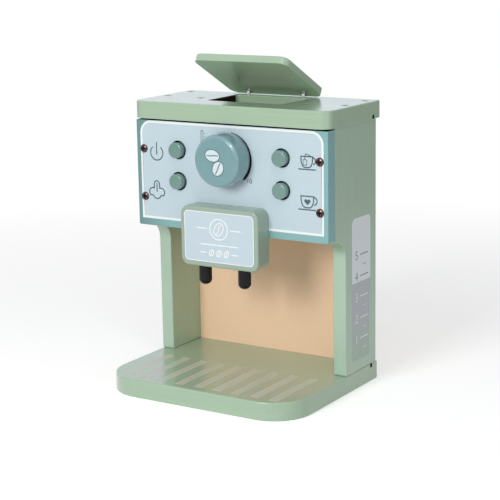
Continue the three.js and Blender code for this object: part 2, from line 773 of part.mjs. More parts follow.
function addScrews(machine) {
  const ordinals = { front: 0, rear: 1 };
  const panHeaded = (length) => panScrew(length, screwShankRadius, screwHeadRadius, panHeadHeight);
  const place = (name, solid, finish, turn, position) => {
    const screw = addPiece(machine, name, solid, finish);
    screw.rotation.x = turn;
    screw.position.set(...position);
  };
  for (const [name, side] of Object.entries(sides)) {
    for (const [end, step] of Object.entries(ordinals)) {
      place(
        `${name}_${end}_top_screw`, countersunkScrew(topScrewLength), "zincSteel", quarterTurn,
        [side * sideCentre, topScrewYs[step], bodyHeight - screwSink],
      );
      place(
        `${name}_${end}_base_screw`, countersunkScrew(baseScrewLength), "zincSteel", -quarterTurn,
        [side * sideCentre, baseScrewYs[step], screwSink],
      );
    }
    place(
      `${name}_hopper_screw`, countersunkScrew(topScrewLength), "zincSteel", quarterTurn,
      [side * hopperWallCentre, hopperScrewInset, bodyHeight - screwSink],
    );
    for (const [row, step] of Object.entries(rows)) {
      place(
        `${row}_${name}_panel_screw`, panHeaded(panelScrewLength), "brownSteel", Math.PI,
        [side * panelScrewX, -seatGap, panelScrewZs[step]],
      );
    }
    place(
      `${name}_head_screw`, panHeaded(headScrewLength), "zincSteel", 0,
      [side * headScrewSpread / 2, panelThickness + seatGap, headScrewZ],
    );
  }
}

const machine = new THREE.Group();
machine.name = "toy_coffee_maker";
addBaseBoard(machine);
addSidePanels(machine);
addBackPanel(machine);
addTopBoard(machine);
addFrontPanel(machine);
addHopper(machine);
addHinges(machine);
addLid(machine);
addButtons(machine);
addKnob(machine);
addBrewHead(machine);
addNozzles(machine);
addScrews(machine);
machine.position.y = (baseReach - bodyDepth) / 2;

export default machine;
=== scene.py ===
# A wooden toy coffee maker: painted boards with printed faces, a hatch lid on barrel hinges, sprung push
# buttons, a turning knob and a brew head. Its sizes are in millimetres, those of the stage in metres.
import json
import math
import bmesh
import bpy
from mathutils import Matrix, Vector
from mathutils.geometry import tessellate_polygon


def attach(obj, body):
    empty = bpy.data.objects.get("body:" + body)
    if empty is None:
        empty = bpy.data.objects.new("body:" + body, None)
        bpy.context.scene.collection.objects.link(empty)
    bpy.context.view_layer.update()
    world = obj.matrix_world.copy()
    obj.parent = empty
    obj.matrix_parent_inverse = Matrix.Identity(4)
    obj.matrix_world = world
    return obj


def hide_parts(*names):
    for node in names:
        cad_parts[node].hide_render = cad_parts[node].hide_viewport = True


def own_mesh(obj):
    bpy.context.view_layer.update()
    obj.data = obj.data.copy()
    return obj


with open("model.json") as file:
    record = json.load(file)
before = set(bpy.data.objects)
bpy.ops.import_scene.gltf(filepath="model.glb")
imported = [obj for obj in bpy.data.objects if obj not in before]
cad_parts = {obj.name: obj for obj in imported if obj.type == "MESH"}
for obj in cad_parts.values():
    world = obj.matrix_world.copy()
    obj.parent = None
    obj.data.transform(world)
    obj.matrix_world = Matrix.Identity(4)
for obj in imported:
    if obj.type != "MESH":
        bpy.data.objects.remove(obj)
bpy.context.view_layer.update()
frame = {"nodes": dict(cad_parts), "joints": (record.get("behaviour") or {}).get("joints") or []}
mm = 0.001
print("frame loaded:", len(frame["nodes"]), "nodes")


def linearFromHex(code, share=1.0):  # an sRGB colour in linear light, made darker or lighter by a share
    channels = [int(code[i:i + 2], 16) / 255 for i in (1, 3, 5)]
    linear = [c / 12.92 if c <= 0.04045 else ((c + 0.055) / 1.055) ** 2.4 for c in channels]
    return tuple(min(c * share, 1.0) for c in linear) + (1.0,)


# Settings are values of sockets, by name or number, or properties of the node. Links are other nodes, for their
# first socket, or sockets.
def addNode(tree, kind, settings=None, links=None):
    node = tree.nodes.new("ShaderNode" + kind)
    for key, value in (settings or {}).items():
        if isinstance(key, int) or key in node.inputs:
            node.inputs[key].default_value = value
        else:
            setattr(node, key, value)
    for key, source in (links or {}).items():
        socket = source if isinstance(source, bpy.types.NodeSocket) else source.outputs[0]
        tree.links.new(socket, node.inputs[key])
    return node


def newMaterial(name):  # with its node tree and the place of a point on the object
    material = bpy.data.materials.new(name)
    material.use_nodes = True
    tree = material.node_tree
    tree.nodes.clear()
    return material, tree, addNode(tree, "TexCoord").outputs["Object"]


def perMillimetre(lengths):  # pattern lengths in mm along X, Y and Z as a mapping scale for coordinates in metres
    return tuple(1 / (length * mm) for length in lengths)


noiseSpan = {"From Min": 0.35, "From Max": 0.65}  # most of a random pattern's values lie between these


def patternAt(tree, place, lengths, detail=2.0, rough=0.5, distortion=0.0):
    stretched = addNode(tree, "Mapping", {"Scale": perMillimetre(lengths)}, {"Vector": place})
    settings = {"Scale": 1.0, "Detail": detail, "Roughness": rough, "Distortion": distortion}
    return addNode(tree, "TexNoise", settings, {"Vector": stretched})


def shadesOf(tree, pattern, code, darker, lighter):  # one colour that a pattern makes darker and lighter
    share = addNode(tree, "MapRange", noiseSpan, {"Value": pattern})
    ends = {6: linearFromHex(code, darker), 7: linearFromHex(code, lighter)}
    return addNode(tree, "Mix", {"data_type": "RGBA", **ends}, {0: share}).outputs[2]


def finishWith(tree, settings, colour, normal, pattern, roughness, swing, span=noiseSpan):  # swing of the roughness
    ends = {"To Min": roughness - swing, "To Max": roughness + swing}
    gloss = addNode(tree, "MapRange", {**span, **ends}, {"Value": pattern})
    links = {"Base Color": colour, "Roughness": gloss, "Normal": normal}
    addNode(tree, "OutputMaterial", {}, {"Surface": addNode(tree, "BsdfPrincipled", settings, links)})


# Sprayed water-based enamel on sanded boards: smooth and fairly glossy, with faint grain and orange peel
# telegraphing through. Grain is drawn 2 to 3 times as coarse as real pine's, so that it shows at all.
anyPaint = {"roughness": 0.24, "glossSwing": 0.04, "patch": 38, "specular": 0.5, "coat": 0.3, "coatRoughness": 0.14,
            "tone": 0.03, "depth": 0.025, "peel": 1.4, "peelDepth": 0.012}
paints = {  # where they differ from any paint
    "sage": {"name": "sageEnamelOnPine", "colour": "#a8c1a6", "coat": 0.5, "grain": (70, 4, 4), "depth": 0.03},
    # Painted reflection: the side panels' copy of the sage paint is lighter and bluer, standing in for cool light
    # reflected on the sides
    "side": {"name": "sageEnamelUprightPaintedReflection", "colour": "#aec8b2", "coat": 0.5, "grain": (4, 4, 70), "tone": 0.02,
             "depth": 0.03},
    "teal": {"name": "tealEnamelOnPine", "colour": "#86b4b5", "roughness": 0.31, "grain": (80, 4, 4),
             "shadeFrom": -96, "shadeTo": -60, "shade": 0.6},  # painted shade: darker towards its left end, where less light falls
    "knob": {"name": "blueGreenEnamelOnBeech", "colour": "#779ea3", "coat": 0.8, "coatRoughness": 0.07,
             "grain": (4, 30, 4), "tone": 0.04, "peel": 1.2},
    "button": {"name": "greyGreenEnamelOnBeech", "colour": "#6f928b", "coat": 0.8, "coatRoughness": 0.07,
               "grain": (3, 20, 3), "tone": 0.05, "peel": 1.0},
    "head": {"name": "paleSageEnamelOnPine", "colour": "#9baf9f", "grain": (60, 4, 4)},
    "peach": {"name": "peachPaintOnFibreboard", "colour": "#fcd6b4", "roughness": 0.5, "coat": 0.0,
              "grain": (1.8, 1.8, 1.8), "tone": 0.025, "depth": 0.03, "peel": 0.9},
    "black": {"name": "blackLacquerOnBeech", "colour": "#161617", "roughness": 0.31, "coat": 0.0, "specular": 0.2,
              "grain": (3, 3, 20), "tone": 0.12, "depth": 0.02, "peel": 1.0},
    # Painted shade: a near-black, rough, finely mottled finish for the walls of bores, grooves, holes, screw recesses
    # and the hatch opening's sides, and for the front panel's top edge, standing in for the deep shade there
    "cut": {"name": "darkBoardForPaintedShade", "colour": "#1f1b18", "roughness": 0.8, "coat": 0.0, "specular": 0.1,
            "grain": (0.8, 0.8, 0.8), "tone": 0.2, "depth": 0.05, "peel": 0.6},
}


def paintedWood(paint):
    paint = {**anyPaint, **paint}
    material, tree, place = newMaterial(paint["name"])
    grain = patternAt(tree, place, paint["grain"], detail=4.0, rough=0.6, distortion=0.4)
    peel = patternAt(tree, place, (paint["peel"],) * 3, detail=1.0)
    patches = patternAt(tree, place, (paint["patch"],) * 3, detail=1.0)
    grained = shadesOf(tree, grain, paint["colour"], 1 - paint["tone"], 1 + paint["tone"])
    cover = addNode(tree, "MapRange", {"From Min": 0.2, "From Max": 0.8, "To Max": 0.5}, {"Value": patches})
    thick = {"data_type": "RGBA", 7: linearFromHex(paint["colour"], 1 - paint["tone"] / 2)}
    colour = addNode(tree, "Mix", thick, {0: cover, 6: grained}).outputs[2]
    # Painted shade: the paint darkens towards one end along X, where less light falls
    if "shade" in paint:
        across = addNode(tree, "SeparateXYZ", {}, {0: place})
        ends = {"From Min": paint["shadeFrom"] * mm, "From Max": paint["shadeTo"] * mm}
        shading = addNode(tree, "MapRange", ends, {"Value": across})
        dark = {"data_type": "RGBA", 6: linearFromHex(paint["colour"], paint["shade"])}
        colour = addNode(tree, "Mix", dark, {0: shading, 7: colour}).outputs[2]
    normal = addNode(tree, "Bump", {"Distance": paint["depth"] * mm}, {"Height": grain})
    normal = addNode(tree, "Bump", {"Distance": paint["peelDepth"] * mm}, {"Height": peel, "Normal": normal})
    settings = {"IOR": 1.5, "Coat Weight": paint["coat"], "Coat Roughness": paint["coatRoughness"],
                "Specular IOR Level": paint["specular"]}
    finishWith(tree, settings, colour, normal, patches, paint["roughness"], paint["glossSwing"], {})
    return material


# Sanded birch and pine without a finish: pale, dry, with early and late wood bands and open pores
bareWood = {"light": "#e2c79c", "dark": "#c39a66", "ring": (400, 3.2, 3.2), "wander": (90, 14, 14), "bend": 2.4,
            "pore": (24, 0.5, 0.5), "poreDepth": 0.06, "roughness": 0.62, "glossSwing": 0.06}


def sandedWood(name, wood):
    material, tree, place = newMaterial(name)
    wander = patternAt(tree, place, wood["wander"], detail=3.0)
    rings = addNode(tree, "Mapping", {"Scale": perMillimetre(wood["ring"])}, {"Vector": place})
    bending = {"operation": "MULTIPLY_ADD", 1: (wood["bend"],) * 3}
    bent = addNode(tree, "VectorMath", bending, {0: wander, 2: rings})
    waves = {"bands_direction": "Y", "Scale": 0.32, "Distortion": 1.0}
    bands = addNode(tree, "TexWave", waves, {"Vector": bent}).outputs[1]
    pores = patternAt(tree, place, wood["pore"])
    late = addNode(tree, "MapRange", {"To Min": 0.1, "To Max": 0.8}, {"Value": bands})
    ends = {6: linearFromHex(wood["light"]), 7: linearFromHex(wood["dark"])}
    banded = addNode(tree, "Mix", {"data_type": "RGBA", **ends}, {0: late}).outputs[2]
    pits = addNode(tree, "MapRange", {"From Min": 0.55, "From Max": 0.7, "To Max": 0.35}, {"Value": pores})
    dark = {"data_type": "RGBA", 7: linearFromHex(wood["dark"], 0.6)}
    pored = addNode(tree, "Mix", dark, {0: pits, 6: banded}).outputs[2]
    normal = addNode(tree, "Bump", {"Distance": wood["poreDepth"] * mm}, {"Height": pores})
    finishWith(tree, {"IOR": 1.45}, pored, normal, bands, wood["roughness"], wood["glossSwing"], {})
    return material


# Cold-headed and plated fasteners: fine tumbling marks, a little uneven gloss. Marks are drawn at 0.5 mm or more.
platings = {
    "zinc": {"name": "zincPlatedSteel", "colour": "#b7babd", "metallic": 1.0, "roughness": 0.355, "lacquer": 0.0,
             "marks": 0.5},
    "nickel": {"name": "nickelPlatedSteel", "colour": "#efeeea", "metallic": 1.0, "roughness": 0.315, "lacquer": 0.0,
               "marks": 0.7},
    "brown": {"name": "brownLacqueredSteel", "colour": "#452017", "metallic": 0.7, "roughness": 0.165, "lacquer": 0.9,
              "marks": 0.6},
}
tumbled = {"markDepth": 0.01, "cloud": 2.5, "glossSwing": 0.085}


def platedSteel(plating):
    material, tree, place = newMaterial(plating["name"])
    marks = patternAt(tree, place, (plating["marks"],) * 3, detail=3.0, rough=0.6)
    cloud = patternAt(tree, place, (tumbled["cloud"],) * 3)
    tone = shadesOf(tree, cloud, plating["colour"], 0.86, 1.08)
    normal = addNode(tree, "Bump", {"Distance": tumbled["markDepth"] * mm}, {"Height": marks})
    settings = {"Metallic": plating["metallic"], "Coat Weight": plating["lacquer"], "Coat Roughness": 0.08}
    finishWith(tree, settings, tone, normal, marks, plating["roughness"], tumbled["glossSwing"])
    return material


# Moulded natural nylon of the knob's washer: milky, waxy, slightly mottled
nylon = {"colour": "#e6e4dc", "roughness": 0.45, "glossSwing": 0.05, "mottle": 1.6, "depth": 0.01, "milk": 0.1}


def mouldedNylon(name, plastic):
    material, tree, place = newMaterial(name)
    mottle = patternAt(tree, place, (plastic["mottle"],) * 3, detail=3.0)
    tone = shadesOf(tree, mottle, plastic["colour"], 0.95, 1.02)
    normal = addNode(tree, "Bump", {"Distance": plastic["depth"] * mm}, {"Height": mottle})
    settings = {"IOR": 1.53, "Subsurface Weight": plastic["milk"], "Subsurface Scale": mm}
    finishWith(tree, settings, tone, normal, mottle, plastic["roughness"], plastic["glossSwing"])
    return material


# Screen-printed ink on the painted boards: thin, even, a touch mottled by the mesh. The mesh is drawn at
# 0.9 mm, where a real one is 0.2 mm.
screen = {"mesh": 0.9, "depth": 0.004, "patch": 24, "glossSwing": 0.03}
inks = {
    "white": {"colour": "#f2f5f6", "roughness": 0.36, "mottle": 0.02},
    "field": {"colour": "#c4d5dd", "roughness": 0.34, "mottle": 0.02},
    "line": {"colour": "#3d5c63", "roughness": 0.4, "mottle": 0.06},
    "dark": {"colour": "#12242a", "roughness": 0.35, "mottle": 0.08},
    "plate": {"colour": "#c6d6df", "roughness": 0.34, "mottle": 0.02},
    "bean": {"colour": "#d6e4e9", "roughness": 0.36, "mottle": 0.02},
    "outline": {"colour": "#55706f", "roughness": 0.4, "mottle": 0.06},
    "stripe": {"colour": "#cdd2c2", "roughness": 0.31, "mottle": 0.04},
    "pale": {"colour": "#ebf1f7", "roughness": 0.32, "mottle": 0.02},
    "rim": {"colour": "#eaf3f3", "roughness": 0.32, "mottle": 0.02},
    "mark": {"colour": "#8a929b", "roughness": 0.4, "mottle": 0.05},
    # The gauge's lower print fades out into the side's paint at its foot, as through a dot screen
    "gauge": {"colour": "#c0c3c9", "roughness": 0.32, "dots": 0.04, "fadeTop": 62, "fadeFoot": 26, "under": "side"},
}


def printedInk(name, ink):
    material, tree, place = newMaterial(name)
    mesh = patternAt(tree, place, (screen["mesh"],) * 3, detail=1.0)
    if "under" in ink:
        height = addNode(tree, "SeparateXYZ", {}, {0: place}).outputs[2]
        ends = {"From Min": ink["fadeFoot"] * mm, "From Max": ink["fadeTop"] * mm, "To Min": 1, "To Max": 0}
        fading = addNode(tree, "MapRange", ends, {"Value": height})
        ends = {6: linearFromHex(ink["colour"]), 7: linearFromHex(paints[ink["under"]]["colour"])}
        faded = addNode(tree, "Mix", {"data_type": "RGBA", **ends}, {0: fading}).outputs[2]
        dots = addNode(tree, "MapRange", {**noiseSpan, "To Max": ink["dots"]}, {"Value": mesh})
        tone = addNode(tree, "Mix", {"data_type": "RGBA", 7: (0, 0, 0, 1)}, {0: dots, 6: faded}).outputs[2]
        uneven = mesh
    else:
        uneven = patternAt(tree, place, (screen["patch"],) * 3)
        halves = [addNode(tree, "MapRange", {**noiseSpan, "To Max": 0.5}, {"Value": half}) for half in (mesh, uneven)]
        blend = addNode(tree, "Math", {"operation": "ADD"}, {0: halves[0], 1: halves[1]})
        ends = {6: linearFromHex(ink["colour"], 1 - ink["mottle"]), 7: linearFromHex(ink["colour"], 1 + ink["mottle"])}
        tone = addNode(tree, "Mix", {"data_type": "RGBA", **ends}, {0: blend}).outputs[2]
    normal = addNode(tree, "Bump", {"Distance": screen["depth"] * mm}, {"Height": mesh})
    finishWith(tree, {"IOR": 1.5}, tone, normal, uneven, ink["roughness"], screen["glossSwing"])
    return material


materials = {finish: paintedWood(paint) for finish, paint in paints.items()}
materials["bare"] = sandedWood("sandedBirch", bareWood)
materials.update({finish: platedSteel(plating) for finish, plating in platings.items()})
materials["nylon"] = mouldedNylon("naturalNylon", nylon)
materials.update({finish: printedInk(finish + "ScreenInk", ink) for finish, ink in inks.items()})
print("materials ready:", len(materials))

# How a flat shape's own axes (a, b, height) lie on the object
facings = {
    "up": Matrix.Identity(4),
    "front": Matrix(((1, 0, 0, 0), (0, 0, -1, 0), (0, 1, 0, 0), (0, 0, 0, 1))),
    "right": Matrix(((0, 0, 1, 0), (1, 0, 0, 0), (0, 1, 0, 0), (0, 0, 0, 1))),
}


def roundedLoop(corners, steps=10):  # corners are (a, b, radius), and may be convex or concave
    loop = []
    for index, (a, b, radius) in enumerate(corners):
        here = Vector((a, b))
        before = (Vector(corners[index - 1][:2]) - here).normalized()
        after = (Vector(corners[(index + 1) % len(corners)][:2]) - here).normalized()
        if radius == 0:
            loop.append(here)
            continue
        half = before.angle(after) / 2
        centre = here + (before + after).normalized() * radius / math.sin(half)
        start = here + before * radius / math.tan(half) - centre
        end = here + after * radius / math.tan(half) - centre
        turn = math.atan2(start.x * end.y - start.y * end.x, start.dot(end))
        loop.extend(centre + Matrix.Rotation(turn * step / steps, 2) @ start for step in range(steps + 1))
    return loop


def rectangle(left, right, low, high, radii=(0,) * 4, steps=10):  # radii from the low left corner, anticlockwise
    corners = ((left, low), (right, low), (right, high), (left, high))
    return roundedLoop([(*corner, radius) for corner, radius in zip(corners, radii)], steps)


def circle(a, b, radius, sides=48):
    turns = [2 * math.pi * k / sides for k in range(sides)]
    return [Vector((a + radius * math.cos(t), b + radius * math.sin(t))) for t in turns]


def arcPoints(a, b, radius, start, end, steps=16):  # angles in degrees
    angles = [math.radians(start + (end - start) * k / steps) for k in range(steps + 1)]
    return [Vector((a + radius * math.cos(t), b + radius * math.sin(t))) for t in angles]


def mitre(first, second, width):  # the shift of a corner between two directions, to the left of both
    normals = [Vector((-d.y, d.x)) for d in (first, second)]
    return (normals[0] + normals[1]) * width / (1 + normals[0].dot(normals[1]))


def offsetLoop(loop, inset):  # an anticlockwise loop moved inwards
    moved = []
    for index, point in enumerate(loop):
        first = (point - loop[index - 1]).normalized()
        second = (loop[(index + 1) % len(loop)] - point).normalized()
        moved.append(point + mitre(first, second, inset))
    return moved


def stroke(points, width, closed=False):  # a drawn line as (outline, holes)
    points = [Vector(p) for p in points]
    if closed:
        area = sum(p.x * q.y - q.x * p.y for p, q in zip(points, points[1:] + points[:1]))
        points = points if area > 0 else points[::-1]
        return offsetLoop(points, -width / 2), [offsetLoop(points, width / 2)]
    sides = ([], [])
    for index, point in enumerate(points):
        first = (point - points[index - 1]).normalized() if index else (points[1] - point).normalized()
        second = (points[index + 1] - point).normalized() if index + 1 < len(points) else first
        shift = mitre(first, second, width / 2)
        sides[0].append(point - shift)
        sides[1].append(point + shift)
    return sides[0] + sides[1][::-1], []


def rimLevels(low, high, lowEdge, highEdge, steps=4):  # (inset, height) from the low face to the high face
    turns = [math.pi / 2 * k / steps for k in range(steps + 1)]
    below = [(lowEdge * (1 - math.sin(t)), low + lowEdge * (1 - math.cos(t))) for t in turns]
    above = [(highEdge * (1 - math.cos(t)), high - highEdge * (1 - math.sin(t))) for t in turns]
    return (below if lowEdge else [(0, low)]) + (above if highEdge else [(0, high)])


def placed(vertices, facing):
    return [facings[facing] @ Vector(v) for v in vertices]


def slab(outer, low, high, facing="up", edge=0.0, lowEdge=None, holes=(), holeEdge=0.0):
    vertices, faces, rims = [], [], []
    lowEdge = edge if lowEdge is None else lowEdge
    for loop, sign, edges in [(outer, 1, (lowEdge, edge))] + [(hole, -1, (holeEdge, holeEdge)) for hole in holes]:
        rings = []
        for inset, height in rimLevels(low, high, *edges):
            ring = offsetLoop(loop, sign * inset) if inset else loop
            rings.append(range(len(vertices), len(vertices) + len(ring)))
            vertices.extend((p.x, p.y, height) for p in ring)
        for below, above in zip(rings, rings[1:]):
            for k in range(len(loop)):
                following = (k + 1) % len(loop)
                faces.append((below[k], below[following], above[following], above[k]))
        rims.append((rings[0], rings[-1]))
    for end in (0, 1):
        loops = [[Vector((*vertices[i][:2], 0)) for i in rim[end]] for rim in rims]
        order = [i for rim in rims for i in rim[end]]
        faces.extend(tuple(order[i] for i in triangle) for triangle in tessellate_polygon(loops))
    return placed(vertices, facing), faces


def lathe(profile, a=0.0, b=0.0, facing="up", sides=48):  # profile of (radius, height) from axis to axis
    vertices, faces, rings = [], [], []
    for radius, height in profile:
        count = sides if radius > 0 else 1
        rings.append(range(len(vertices), len(vertices) + count))
        vertices.extend((p.x, p.y, height) for p in circle(a, b, radius, count))
    for below, above in zip(rings, rings[1:]):
        for k in range(sides):
            following = (k + 1) % sides
            corners = [below[k % len(below)], below[following % len(below)],
                       above[following % len(above)], above[k % len(above)]]
            face = tuple(dict.fromkeys(corners))
            if len(face) > 2:
                faces.append(face)
    return placed(vertices, facing), faces


def rod(radius, low, high, a, b, facing="up", sides=32):
    return lathe([(0, low), (radius, low), (radius, high), (0, high)], a, b, facing, sides)


def box(low, high):
    vertices = [Vector((x, y, z)) for x in (low[0], high[0]) for y in (low[1], high[1]) for z in (low[2], high[2])]
    return vertices, [(0, 1, 3, 2), (4, 6, 7, 5), (0, 4, 5, 1), (2, 3, 7, 6), (0, 2, 6, 4), (1, 5, 7, 3)]


def meshOf(name, parts):
    mesh = bmesh.new()
    for vertices, faces in parts:
        corners = [mesh.verts.new(Vector(v) * mm) for v in vertices]
        for face in faces:
            mesh.faces.new([corners[i] for i in face])
    bmesh.ops.recalc_face_normals(mesh, faces=mesh.faces)
    data = bpy.data.meshes.new(name)
    mesh.to_mesh(data)
    mesh.free()
    return data


def newObject(name, data):
    made = bpy.data.objects.new(name, data)
    bpy.context.scene.collection.objects.link(made)
    return made


# A piece of one finish on one body. Cutters leave walls in the piece's finish; the other cutters leave walls in a
# near-black finish that is painted shade.
def makePiece(name, parts, finish, body, nodes=(), cutters=(), turn=None, shadeCutters=()):
    piece = newObject(name, meshOf(name, parts))
    finishes = [materials[finish]] + ([materials["cut"]] if shadeCutters else [])
    for material in finishes:
        piece.data.materials.append(material)
    tools = []
    for number, cutter in enumerate(list(cutters) + list(shadeCutters)):
        tool = newObject(name + "Cutter", meshOf(name + "Cutter", [cutter]))
        for material in finishes:
            tool.data.materials.append(material)
        for polygon in tool.data.polygons:
            polygon.material_index = int(number >= len(cutters))
        cut = piece.modifiers.new("cut", "BOOLEAN")
        cut.operation, cut.solver, cut.object = "DIFFERENCE", "EXACT", tool
        tools.append(tool)
    if tools:
        bpy.context.view_layer.update()
        evaluated = piece.evaluated_get(bpy.context.evaluated_depsgraph_get())
        carved = bpy.data.meshes.new_from_object(evaluated)
        piece.modifiers.clear()
        piece.data = carved
        for tool in tools:
            bpy.data.objects.remove(tool)
    if turn is not None:
        piece.data.transform(turn)
    piece.data.shade_smooth()
    piece.data.set_sharp_from_angle(angle=math.radians(32))
    shading = piece.modifiers.new("even shading", "WEIGHTED_NORMAL")
    shading.keep_sharp = True
    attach(piece, body)
    if nodes:
        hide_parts(*nodes)
    return piece


# Printed layers, a little thicker than real ink. Each shape of a print lies a step higher, so that none coincide.
layer = {"depth": 0.03, "step": 0.004, "second": 0.025}


def printShapes(name, shapes, finish, body, low, facing, slot):  # shapes are (outline, holes)
    parts = [slab(outline, low, low + layer["depth"] + layer["step"] * index, facing, holes=holes)
             for index, (outline, holes) in enumerate(shapes)]
    makePiece(name, parts, finish, body)


def numeral(text, height, a, b, low, facing):
    curve = bpy.data.curves.new("numeral", "FONT")
    curve.body, curve.align_x, curve.align_y, curve.resolution_u = text, "CENTER", "CENTER", 4
    shown = newObject("numeral", curve)
    bpy.context.view_layer.update()
    flat = bpy.data.meshes.new_from_object(shown.evaluated_get(bpy.context.evaluated_depsgraph_get()))
    bpy.data.objects.remove(shown)
    points = [Vector(v.co) for v in flat.vertices]
    foot, top = min(p.y for p in points), max(p.y for p in points)
    middle = (min(p.x for p in points) + max(p.x for p in points)) / 2
    share = height / (top - foot)
    vertices = [(a + (p.x - middle) * share, b + (p.y - (foot + top) / 2) * share, low + layer["depth"])
                for p in points]
    faces = [tuple(polygon.vertices) for polygon in flat.polygons]
    bpy.data.meshes.remove(flat)
    return placed(vertices, facing), faces


def fourPlaces(x, low, high):  # by row and column
    return {(row, column): (sign * x, z) for row, z in (("upper", high), ("lower", low))
            for column, sign in (("left", -1), ("right", 1))}


# Places that several pieces share
screwAt = {"x": 89, "base": (29, 58), "top": (28, 64), "hopper": (52, 25), "panel": (87.5, 161.9, 203.9),
           "head": (20, 152.1)}
barrel = {"x": 28, "bore": 3.1}
groove = {"side": 99, "front": 61.8, "rear": 65.2}  # for the back panel
panelScrews = fourPlaces(*screwAt["panel"])
buttonPlaces = fourPlaces(51.5, 177.8, 204.8)
knobPlace = (0, 201.1)
nozzlePlace = (19.7, -21.5)
screwHole = {"bore": 2.05, "mouth": 3.6, "rim": 0.5, "coneEnd": 2.3, "above": 3, "depth": 20}


def countersink(x, y, face, inward):  # a countersunk hole in a face that looks up or down
    bore, mouth, above = screwHole["bore"], screwHole["mouth"], screwHole["above"]
    profile = [(0, above), (mouth, above), (mouth, -screwHole["rim"]), (bore, -screwHole["coneEnd"]),
               (bore, -screwHole["depth"]), (0, -screwHole["depth"])]
    return lathe([(r, face - h * inward) for r, h in profile], x, y, "up", 32)


def bothSides(x):
    return (-x, x)


def grooveCutter(low, high):
    return box((-groove["side"], groove["front"], low), (groove["side"], groove["rear"], high))


# Base board: thick, with wide rounded front corners and a groove for the back panel
base = {"half": 95, "front": -76, "rear": 76, "top": 16, "corners": (34, 34, 2.5, 2.5), "edge": 1.3}
baseLoop = rectangle(*bothSides(base["half"]), base["front"], base["rear"], base["corners"], 24)
baseCutters = [countersink(x, y, 0, 1) for x in bothSides(screwAt["x"]) for y in screwAt["base"]]
# Painted shade: the back panel's groove is cut with the near-black finish
makePiece("baseBoard", [slab(baseLoop, 0, base["top"], edge=base["edge"])], "sage", "housing", ["base_board"],
          baseCutters, shadeCutters=[grooveCutter(12.5, 20)])

stripes = {"count": 9, "pitch": 18.5, "width": 8.3, "front": -68, "rear": 0}
stripeShapes = []
for k in range(stripes["count"]):
    middle, half = (k - (stripes["count"] - 1) / 2) * stripes["pitch"], stripes["width"] / 2
    stripeShapes.append((rectangle(middle - half, middle + half, stripes["front"], stripes["rear"]), []))
printShapes("drainStripes", stripeShapes, "stripe", "housing", base["top"], "up", "sage_paint")
print("base board ready")

# Side panels: an arm behind the front panel, a concave round, and a set back foot
side = {"inner": 83, "outer": 95, "low": 16.05, "high": 230.45, "armFront": 0.05, "footFront": 17.5, "rear": 72,
        "arch": 135, "archRadius": 16.5, "armCorner": 1.0, "corner": 1.5, "edge": 0.8,
        "topBore": (211, 245), "baseBore": (0, 36), "panelBore": (-20, 12)}
sideLoop = roundedLoop([
    (side["footFront"], side["low"], side["corner"]), (side["rear"], side["low"], side["corner"]),
    (side["rear"], side["high"], side["corner"]), (side["armFront"], side["high"], side["corner"]),
    (side["armFront"], side["arch"], side["armCorner"]), (side["footFront"], side["arch"], side["archRadius"]),
], 16)
sideGrooves = (  # (front, low), (rear, high) and depth for the back panel, the spring board and the hopper shelf
    ((groove["front"], 14), (groove["rear"], 233), 3.5), ((7.8, 139), (12.2, 233), 2.3),
    ((-2, 138.8), (62, 148.2), 2.3))
for name, sign in (("left", -1), ("right", 1)):
    faces = sorted((sign * side["inner"], sign * side["outer"]))
    cutters = []
    for low, high, depth in sideGrooves:
        xs = sorted((sign * (side["inner"] - 2), sign * (side["inner"] + depth)))
        cutters.append(box((xs[0], *low), (xs[1], *high)))
    cutters += [rod(screwHole["bore"], *side["topBore"], sign * screwAt["x"], y) for y in screwAt["top"]]
    cutters += [rod(screwHole["bore"], *side["baseBore"], sign * screwAt["x"], y) for y in screwAt["base"]]
    x, *heights = screwAt["panel"]
    cutters += [rod(screwHole["bore"], *side["panelBore"], sign * x, z, "front") for z in heights]
    makePiece(name + "Side", [slab(sideLoop, *faces, "right", edge=side["edge"])], "side", "housing",
              [name + "_side_panel"], cutters)

# Water gauge printed on the right side, with ticks and plain numbers
gauge = {"front": 28.5, "rear": 61.5, "foot": 26, "top": 150, "level": 94, "inset": 1.4, "gap": 0.5,
         "corners": (0, 2, 5, 5), "rim": 0.9, "tickFront": 43, "tickRear": 57, "tickWidth": 1.0, "numberY": 36.5,
         "numberHeight": 7.6, "minorFront": 48, "minorRear": 54, "minorWidth": 0.6, "minorDrop": 9.1}
gaugeHeights = {1: 44.3, 2: 62.3, 3: 81.1, 4: 99.1, 5: 117.6}
sideFace = side["outer"]
rimFace, markFace = sideFace + 0.02, sideFace + 0.06
deepLoop = rectangle(gauge["front"], gauge["rear"] - gauge["inset"], gauge["foot"], gauge["level"] - gauge["gap"])
paleLoop = rectangle(gauge["front"], gauge["rear"], gauge["level"], gauge["top"], gauge["corners"])
onSide = ("right", "sage_paint")
printShapes("gaugeWater", [(deepLoop, [])], "gauge", "housing", sideFace, *onSide)
printShapes("gaugeField", [(paleLoop, [])], "pale", "housing", sideFace, *onSide)
printShapes("gaugeRim", [(paleLoop, [offsetLoop(paleLoop, gauge["rim"])])], "rim", "housing", rimFace, *onSide)


def tick(front, rear, height, width, face):
    return slab(rectangle(front, rear, height - width / 2, height + width / 2), rimFace, face, "right")


for finish, numbers in (("white", (1, 2, 3)), ("mark", (4, 5))):
    parts = []
    for number in numbers:
        height = gaugeHeights[number]
        parts.append(tick(gauge["tickFront"], gauge["tickRear"], height, gauge["tickWidth"], markFace))
        parts.append(numeral(str(number), gauge["numberHeight"], gauge["numberY"], height, sideFace + 0.03, "right"))
        if number != 4:  # a short, thinner line half way to the next lower number
            between = height - gauge["minorDrop"]
            parts.append(tick(gauge["minorFront"], gauge["minorRear"], between, gauge["minorWidth"], sideFace + 0.055))
    makePiece(finish + "GaugeMarks", parts, finish, "housing")
print("sides ready")

